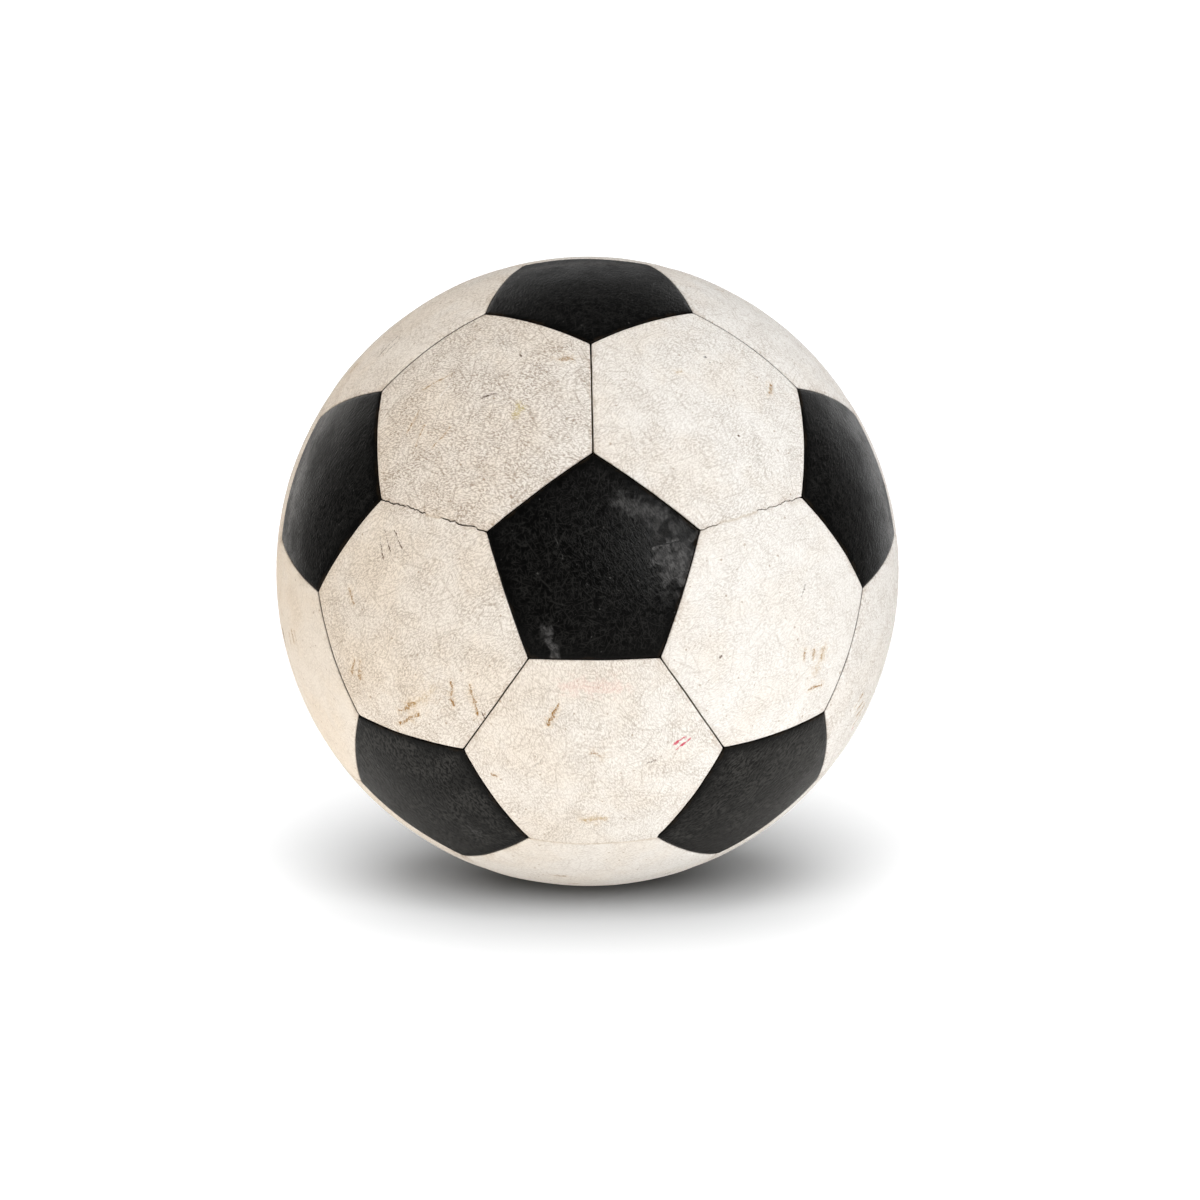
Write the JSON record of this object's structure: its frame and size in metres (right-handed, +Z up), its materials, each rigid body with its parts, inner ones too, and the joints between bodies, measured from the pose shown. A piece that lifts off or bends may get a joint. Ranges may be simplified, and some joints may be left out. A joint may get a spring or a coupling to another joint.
{
  "type": "worn football",
  "caption": "Worn hand-stitched football: black pentagons and white hexagons of coated leather sewn round a latex bladder with a plug valve, fully round, with scuffs and cracked seams.",
  "frame": {"origin": "centre of the ball, which is the centre of its bounding box", "axes": "+Z up, along the ball's slightly longer height; -Y to the front, where the front black pentagon looks out tilted 10 degrees up; +X to the right seen from the front, along the ball's slightly shorter width"},
  "size_m": [0.2188, 0.22, 0.2212],
  "materials": {
    "black_leather": "coated grain leather, rubbed and finely scratched",
    "white_leather": "coated grain leather, yellowed, with brown scuffs",
    "bladder_latex": "matt latex",
    "valve_rubber": "matt",
    "patch_canvas": "glued plain-weave canvas",
    "waxed_thread": "waxed and soiled"
  },
  "bodies": {
    "root": {"black_pentagon_front": "black_leather", "black_pentagon_fore_1": "black_leather", "black_pentagon_fore_2": "black_leather", "black_pentagon_fore_3": "black_leather", "black_pentagon_fore_4": "black_leather", "black_pentagon_fore_5": "black_leather", "black_pentagon_aft_1": "black_leather", "black_pentagon_aft_2": "black_leather", "black_pentagon_aft_3": "black_leather", "black_pentagon_aft_4": "black_leather", "black_pentagon_aft_5": "black_leather", "black_pentagon_back": "black_leather", "white_hexagon_front_1": "white_leather", "white_hexagon_front_2": "white_leather", "white_hexagon_front_3": "white_leather", "white_hexagon_front_4": "white_leather", "white_hexagon_front_5": "white_leather", "white_hexagon_fore_1": "white_leather", "white_hexagon_fore_2": "white_leather", "white_hexagon_fore_3": "white_leather", "white_hexagon_fore_4": "white_leather", "white_hexagon_fore_5": "white_leather", "white_hexagon_aft_1": "white_leather", "white_hexagon_aft_2": "white_leather", "white_hexagon_aft_3": "white_leather", "white_hexagon_aft_4": "white_leather", "white_hexagon_aft_5": "white_leather", "white_hexagon_back_1": "white_leather", "white_hexagon_back_2": "white_leather", "white_hexagon_back_3": "white_leather", "white_hexagon_back_4": "white_leather", "white_hexagon_back_5": "white_leather", "bladder": "bladder_latex", "valve_plug": "valve_rubber", "valve_patch": "patch_canvas", "seam_thread": "waxed_thread"}
  },
  "joints": []
}
